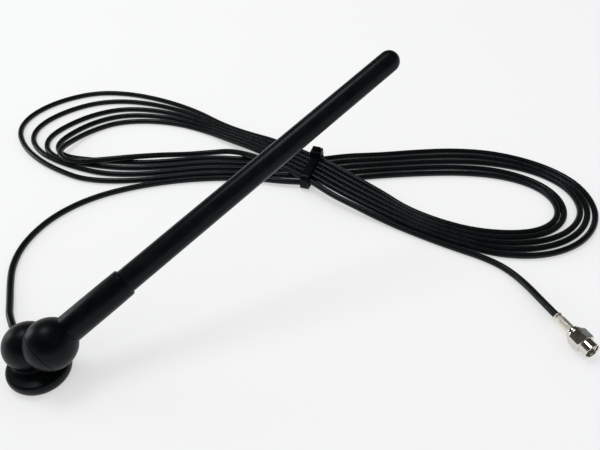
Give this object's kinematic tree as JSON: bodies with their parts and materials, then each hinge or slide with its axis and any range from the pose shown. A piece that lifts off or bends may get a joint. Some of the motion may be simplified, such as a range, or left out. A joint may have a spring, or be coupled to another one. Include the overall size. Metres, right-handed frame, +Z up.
{
  "type": "gsm antenna",
  "caption": "Magnetic antenna: whip on an inclined friction swivel over a small round domed foot, with a thin coaxial lead wound in a figure of eight and a screw-on plug",
  "frame": {"origin": "middle of the round foot's underside", "axes": "+Z up, away from the surface that the foot holds to; the lead leaves the foot towards -X +Y and the whip leans towards +X +Y"},
  "size_m": [0.3383, 0.2493, 0.0945],
  "materials": {
    "black_body": "fine satin",
    "black_whip": "soft sheen",
    "zinc_steel": "zinc plated",
    "magnet": "sintered",
    "foot_skin": "matte",
    "pivot_brass": "turned",
    "white_plastic": "smooth",
    "copper_wire": "drawn wire",
    "black_rubber": "satin",
    "tie_nylon": "smooth",
    "nickel_plate": "bright nickel plate",
    "spring_bronze": "plain",
    "gold_pin": "gold plate",
    "gasket_rubber": "matte"
  },
  "bodies": {
    "base": {"foot_housing": "black_body", "lobe_cap": "black_body", "magnet_cup": "zinc_steel", "ring_magnet": "magnet", "cup_screw": "zinc_steel", "foot_pad": "foot_skin", "pivot_tube": "pivot_brass", "spring_washer": "zinc_steel", "pivot_nut": "pivot_brass", "cable_core": "white_plastic", "cable_grommet": "black_rubber", "cable_lead": "black_rubber", "cable_hank": "black_rubber", "cable_tie": "tie_nylon", "cable_tail": "black_rubber", "crimp_ferrule": "nickel_plate", "connector_body": "nickel_plate", "nut_clip": "spring_bronze", "connector_insulator": "white_plastic", "centre_pin": "gold_pin", "nut_gasket": "gasket_rubber"},
    "whip": {"head_front": "black_body", "head_rear": "black_body", "whip_sleeve": "black_body", "whip_cover": "black_whip", "contact_block": "pivot_brass", "whip_insert": "pivot_brass", "radiator_rod": "zinc_steel", "coil_former": "white_plastic", "matching_coil": "copper_wire", "rod_spacers": "white_plastic"},
    "coupling": {"coupling_nut": "nickel_plate"}
  },
  "joints": [
    {"name": "whip_swivel", "type": "hinge", "parent": "base", "child": "whip", "pos_m": [0.0082, -0.0002, 0.0174], "axis": [0.9155, -0.2005, 0.3488], "range_deg": [-30, 150]},
    {"name": "nut_turn", "type": "hinge", "parent": "base", "child": "coupling", "pos_m": [0.2126, 0.0255, 0.00465], "axis": [0.392, -0.92, 0], "continuous": true}
  ]
}
